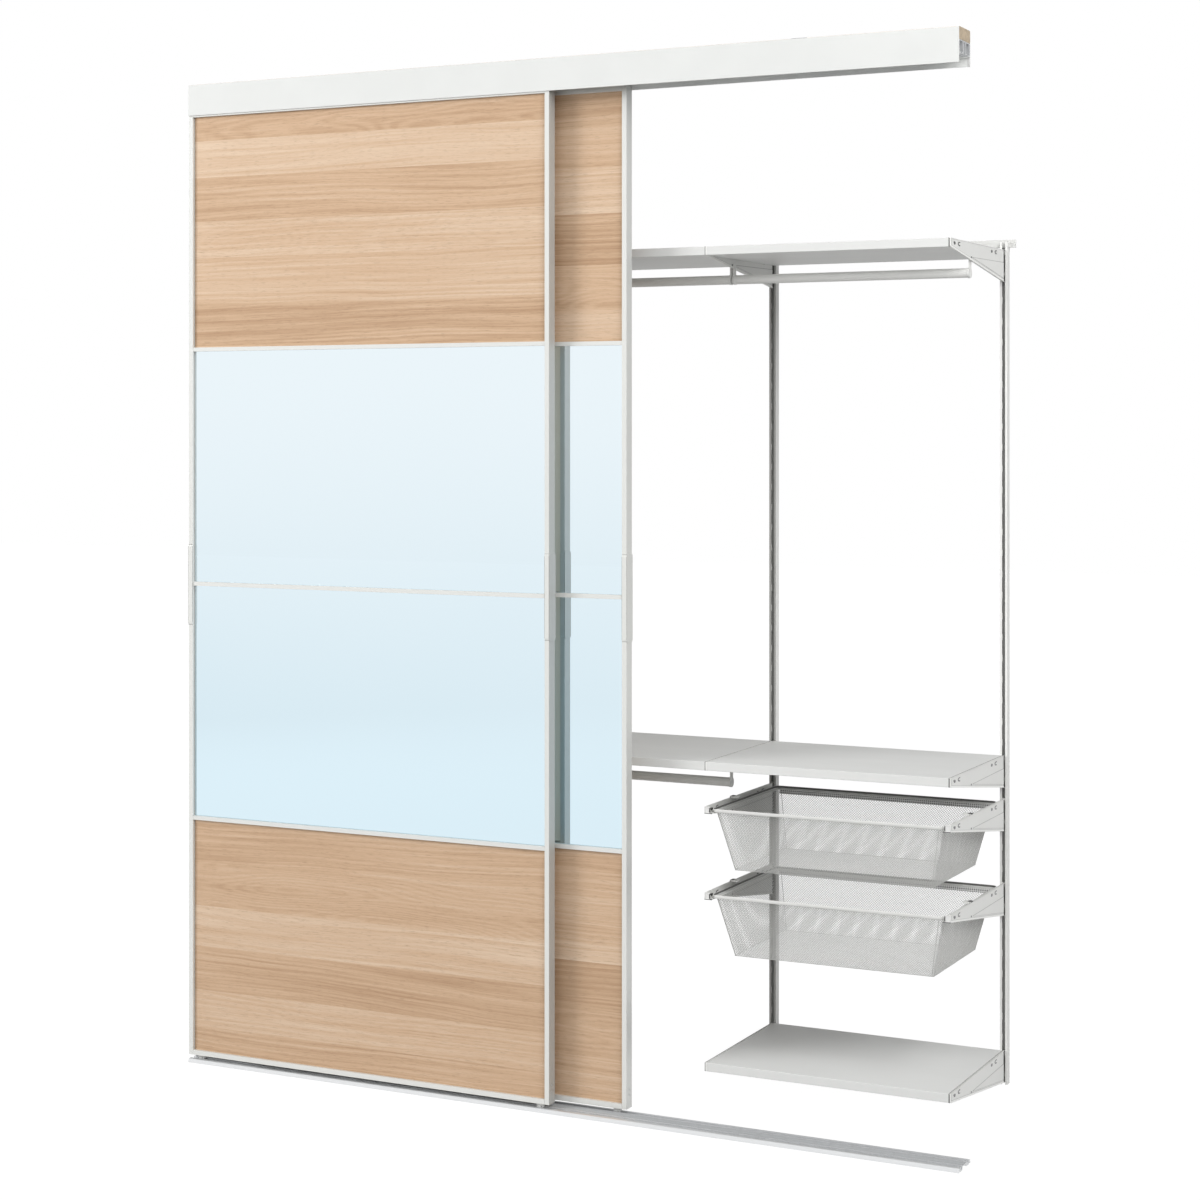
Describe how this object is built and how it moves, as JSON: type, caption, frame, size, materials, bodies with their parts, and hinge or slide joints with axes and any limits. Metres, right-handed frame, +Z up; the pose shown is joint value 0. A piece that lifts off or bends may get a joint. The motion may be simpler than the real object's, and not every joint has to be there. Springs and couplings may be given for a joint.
{
  "type": "wall mounted closet system",
  "caption": "Wall-hung closet unit of slotted uprights, bracketed shelves, clothes rails and sliding mesh baskets behind rolling oak and mirror doors in a double track",
  "frame": {"origin": "middle of the wall rail's back face: half way along the door tracks in X, on the wall in Y, half way up the rail in Z", "axes": "+X right along the wall, +Y into the wall, +Z up; the floor is 2.0405 m below the origin"},
  "size_m": [2.0215, 0.5788, 2.4678],
  "materials": {
    "white_enamel": "white powder coat",
    "white_board": "white coated board",
    "white_plastic": "plain moulded",
    "grey_nylon": "plain moulded",
    "mirror_glass": "silvered glass",
    "oak": "satin oak veneer",
    "satin_aluminium": "satin anodised",
    "floor_aluminium": "satin anodised",
    "fascia_enamel": "light grey paint",
    "pine": "sawn timber"
  },
  "bodies": {
    "wall_unit_and_tracks": {"ceiling_batten": "pine", "top_track": "satin_aluminium", "front_fascia": "fascia_enamel", "rear_fascia": "fascia_enamel", "floor_track": "floor_aluminium", "wall_rail": "white_enamel", "upright_left_end": "white_enamel", "upright_mid_left": "white_enamel", "upright_mid_right": "white_enamel", "upright_right_end": "white_enamel", "top_bracket_mid_right": "white_enamel", "top_bracket_right_end": "white_enamel", "middle_bracket_mid_right": "white_enamel", "middle_bracket_right_end": "white_enamel", "bottom_bracket_mid_right": "white_enamel", "bottom_bracket_right_end": "white_enamel", "upper_basket_bracket_left": "white_enamel", "upper_basket_bracket_right": "white_enamel", "lower_basket_bracket_left": "white_enamel", "lower_basket_bracket_right": "white_enamel", "top_shelf_left": "white_board", "top_shelf_middle": "white_board", "top_shelf_right": "white_board", "middle_shelf_middle": "white_board", "middle_shelf_right": "white_board", "bottom_shelf_right": "white_board", "clothes_rail_left": "white_enamel", "clothes_rail_middle": "white_enamel", "clothes_rail_right": "white_enamel", "lower_clothes_rail": "white_enamel"},
    "front_door": {"front_door_left_stile": "satin_aluminium", "front_door_right_stile": "satin_aluminium", "front_door_top_rail": "satin_aluminium", "front_door_bottom_rail": "satin_aluminium", "front_door_lower_divider": "satin_aluminium", "front_door_middle_divider": "satin_aluminium", "front_door_upper_divider": "satin_aluminium", "front_door_bottom_panel": "oak", "front_door_lower_mirror": "mirror_glass", "front_door_upper_mirror": "mirror_glass", "front_door_top_panel": "oak"},
    "front_sprung_guide": {"front_door_sprung_guide": "grey_nylon"},
    "front_left_roller": {"front_door_left_roller": "white_plastic"},
    "front_right_roller": {"front_door_right_roller": "white_plastic"},
    "rear_door": {"rear_door_left_stile": "satin_aluminium", "rear_door_right_stile": "satin_aluminium", "rear_door_top_rail": "satin_aluminium", "rear_door_bottom_rail": "satin_aluminium", "rear_door_lower_divider": "satin_aluminium", "rear_door_middle_divider": "satin_aluminium", "rear_door_upper_divider": "satin_aluminium", "rear_door_bottom_panel": "oak", "rear_door_lower_mirror": "mirror_glass", "rear_door_upper_mirror": "mirror_glass", "rear_door_top_panel": "oak"},
    "rear_sprung_guide": {"rear_door_sprung_guide": "grey_nylon"},
    "rear_left_roller": {"rear_door_left_roller": "white_plastic"},
    "rear_right_roller": {"rear_door_right_roller": "white_plastic"},
    "upper_basket": {"upper_basket": "white_enamel"},
    "lower_basket": {"lower_basket": "white_enamel"}
  },
  "joints": [
    {"name": "front_door_slide", "type": "slide", "parent": "wall_unit_and_tracks", "child": "front_door", "axis": [1, 0, 0], "range_m": [0, 0.9945]},
    {"name": "front_guide_slide", "type": "slide", "parent": "front_door", "child": "front_sprung_guide", "axis": [0, 0, 1], "range_m": [-0.008, 0], "stiffness_N_per_m": 400, "springref_m": 0.004},
    {"name": "front_left_roller_spin", "type": "hinge", "parent": "front_door", "child": "front_left_roller", "pos_m": [-0.98, -0.561, -2.0272], "axis": [0, 1, 0], "continuous": true},
    {"name": "front_right_roller_spin", "type": "hinge", "parent": "front_door", "child": "front_right_roller", "pos_m": [-0.0145, -0.561, -2.0272], "axis": [0, 1, 0], "continuous": true},
    {"name": "rear_door_slide", "type": "slide", "parent": "wall_unit_and_tracks", "child": "rear_door", "axis": [1, 0, 0], "range_m": [-0.1785, 0.816]},
    {"name": "rear_guide_slide", "type": "slide", "parent": "rear_door", "child": "rear_sprung_guide", "axis": [0, 0, 1], "range_m": [-0.008, 0], "stiffness_N_per_m": 400, "springref_m": 0.004},
    {"name": "rear_left_roller_spin", "type": "hinge", "parent": "rear_door", "child": "rear_left_roller", "pos_m": [-0.8015, -0.515, -2.0272], "axis": [0, 1, 0], "continuous": true},
    {"name": "rear_right_roller_spin", "type": "hinge", "parent": "rear_door", "child": "rear_right_roller", "pos_m": [0.164, -0.515, -2.0272], "axis": [0, 1, 0], "continuous": true},
    {"name": "upper_basket_slide", "type": "slide", "parent": "wall_unit_and_tracks", "child": "upper_basket", "axis": [0, 1, 0], "range_m": [-0.3, 0]},
    {"name": "lower_basket_slide", "type": "slide", "parent": "wall_unit_and_tracks", "child": "lower_basket", "axis": [0, 1, 0], "range_m": [-0.3, 0]}
  ],
  "couplings": [
    {"joint": "front_left_roller_spin", "follows": "front_door_slide", "rad_per_m": 100},
    {"joint": "front_right_roller_spin", "follows": "front_door_slide", "rad_per_m": 100},
    {"joint": "rear_left_roller_spin", "follows": "rear_door_slide", "rad_per_m": 100},
    {"joint": "rear_right_roller_spin", "follows": "rear_door_slide", "rad_per_m": 100}
  ]
}
